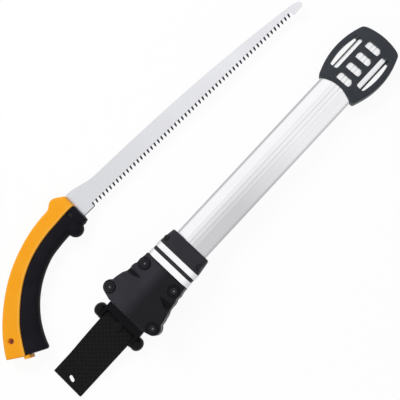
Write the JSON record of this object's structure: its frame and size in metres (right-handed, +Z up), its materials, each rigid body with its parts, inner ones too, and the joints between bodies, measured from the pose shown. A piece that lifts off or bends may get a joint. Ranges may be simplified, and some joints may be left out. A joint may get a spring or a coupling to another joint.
{
  "type": "pruning saw with scabbard",
  "caption": "Curved-handle pruning hand saw lying beside its rigid flat aluminium scabbard, which has guide rollers, a vented end cap and a hinged webbing belt hanger.",
  "frame": {"origin": "middle of the box of saw and scabbard, on the surface they lie on", "axes": "+X along the scabbard from its hanger to its end cap, +Z up; the saw lies on the +Y side, teeth towards the scabbard"},
  "size_m": [0.6128, 0.2186, 0.0463],
  "materials": {
    "steel": "satin ground and polished blade steel",
    "bolt_steel": "black oxide on steel, half matt",
    "aluminium": "clear anodised, fine lengthwise grain",
    "orange": "matt orange elastomer",
    "grip": "matt black elastomer",
    "shell": "moulded black nylon, half matt",
    "cap": "moulded black nylon, fine grain",
    "roller_rubber": "matt",
    "webbing": "woven black webbing"
  },
  "bodies": {
    "scabbard": {"scabbard_tube": "aluminium", "mouth_front_shell": "shell", "mouth_back_shell": "shell", "mouth_bolt_1": "bolt_steel", "mouth_bolt_2": "bolt_steel", "mouth_bolt_3": "bolt_steel", "mouth_bolt_4": "bolt_steel", "mouth_nut_1": "bolt_steel", "mouth_nut_2": "bolt_steel", "mouth_nut_3": "bolt_steel", "mouth_nut_4": "bolt_steel", "roller_axle_front": "bolt_steel", "roller_axle_back": "bolt_steel", "silver_band_1": "aluminium", "silver_band_2": "aluminium", "tube_collar": "shell", "collar_screw_1": "bolt_steel", "collar_screw_2": "bolt_steel", "end_cap": "cap"},
    "roller_front": {"guide_roller_front": "roller_rubber"},
    "roller_back": {"guide_roller_back": "roller_rubber"},
    "hanger": {"hanger_bar": "bolt_steel", "belt_strap": "webbing", "hanger_button": "bolt_steel", "bar_knob_left": "shell", "bar_knob_right": "shell"},
    "saw": {"saw_blade": "steel", "handle_spine": "orange", "palm_grip": "grip", "blade_bolt": "bolt_steel", "blade_nut": "bolt_steel", "tang_rivet": "bolt_steel"}
  },
  "joints": [
    {"name": "hanger_swing", "type": "hinge", "parent": "scabbard", "child": "hanger", "pos_m": [-0.178, -0.0632, 0.0093], "axis": [0, 1, 0], "range_deg": [-140, 80]},
    {"name": "roller_front_spin", "type": "hinge", "parent": "scabbard", "child": "roller_front", "pos_m": [-0.13598, -0.0632, 0.03559], "axis": [0, 1, 0], "continuous": true},
    {"name": "roller_back_spin", "type": "hinge", "parent": "scabbard", "child": "roller_back", "pos_m": [-0.13639, -0.0632, 0.02449], "axis": [0, 1, 0], "continuous": true},
    {"name": "saw_lift", "type": "slide", "parent": "scabbard", "child": "saw", "axis": [0, 0, 1], "range_m": [0, 0.3]}
  ]
}
